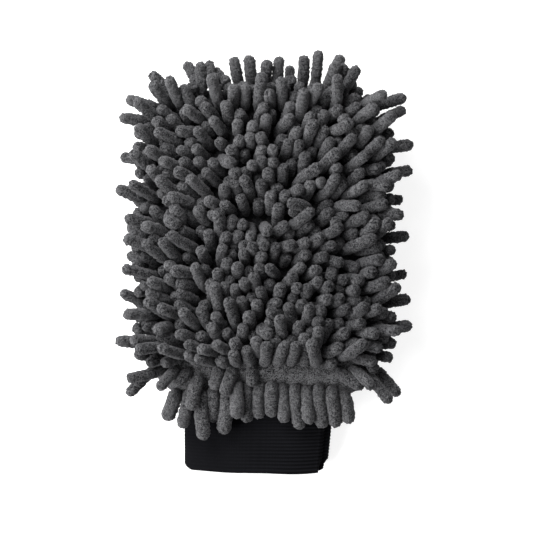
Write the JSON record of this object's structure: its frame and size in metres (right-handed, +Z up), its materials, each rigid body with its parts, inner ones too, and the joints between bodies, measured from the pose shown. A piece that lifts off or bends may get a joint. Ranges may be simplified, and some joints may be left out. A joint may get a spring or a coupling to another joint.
{
  "type": "wash mitt",
  "caption": "Double-sided chenille wash mitt with a lined hand pocket and a ribbed elastic knit cuff that folds back at the wrist.",
  "frame": {"origin": "centre of the bounding box's bottom face, where the mitt lies on a surface", "axes": "+Y from the cuff to the fingertip end, +X across the mitt, +Z up out of its front face"},
  "size_m": [0.1904, 0.27, 0.0623],
  "materials": {
    "chenille": "plush chenille pile, charcoal",
    "ground_cloth": "flat knitted ground",
    "lining_cloth": "plain warp knit",
    "rib_knit": "elastic rib knit, near black",
    "thread": "sewing thread"
  },
  "bodies": {
    "mitt": {"back_chenille_row_01": "chenille", "back_chenille_row_02": "chenille", "back_chenille_row_03": "chenille", "back_chenille_row_04": "chenille", "back_chenille_row_05": "chenille", "back_chenille_row_06": "chenille", "back_chenille_row_07": "chenille", "back_chenille_row_08": "chenille", "back_chenille_row_09": "chenille", "back_chenille_row_10": "chenille", "back_chenille_row_11": "chenille", "back_chenille_row_12": "chenille", "back_chenille_row_13": "chenille", "back_chenille_row_14": "chenille", "back_chenille_row_15": "chenille", "back_chenille_row_16": "chenille", "back_chenille_row_17": "chenille", "back_chenille_row_18": "chenille", "back_chenille_row_19": "chenille", "back_chenille_row_20": "chenille", "back_chenille_row_21": "chenille", "back_panel": "ground_cloth", "front_chenille_row_01": "chenille", "front_chenille_row_02": "chenille", "front_chenille_row_03": "chenille", "front_chenille_row_04": "chenille", "front_chenille_row_05": "chenille", "front_chenille_row_06": "chenille", "front_chenille_row_07": "chenille", "front_chenille_row_08": "chenille", "front_chenille_row_09": "chenille", "front_chenille_row_10": "chenille", "front_chenille_row_11": "chenille", "front_chenille_row_12": "chenille", "front_chenille_row_13": "chenille", "front_chenille_row_14": "chenille", "front_chenille_row_15": "chenille", "front_chenille_row_16": "chenille", "front_chenille_row_17": "chenille", "front_chenille_row_18": "chenille", "front_chenille_row_19": "chenille", "front_chenille_row_20": "chenille", "front_chenille_row_21": "chenille", "front_chenille_row_22": "chenille", "front_chenille_row_23": "chenille", "front_panel": "ground_cloth", "lining_back": "lining_cloth", "lining_front": "lining_cloth", "lining_seam_thread": "thread", "shell_seam_thread": "thread", "wrist_seam_thread": "thread"},
    "cuff": {"cuff_band": "rib_knit", "cuff_seam_thread": "thread"},
    "fringe": {"fringe_over_cuff": "chenille"}
  },
  "joints": [
    {"name": "wrist_fold", "type": "hinge", "parent": "mitt", "child": "cuff", "pos_m": [0.00004, -0.08869, 0.01699], "axis": [-1, 0, 0], "range_deg": [-20, 55], "stiffness_Nm_per_rad": 0.12},
    {"name": "fringe_lift", "type": "hinge", "parent": "mitt", "child": "fringe", "pos_m": [0.00004, -0.08529, 0.03279], "axis": [-1, 0, 0], "range_deg": [-20, 55], "stiffness_Nm_per_rad": 0.05}
  ],
  "couplings": [
    {"joint": "fringe_lift", "follows": "wrist_fold", "ratio": 1}
  ]
}
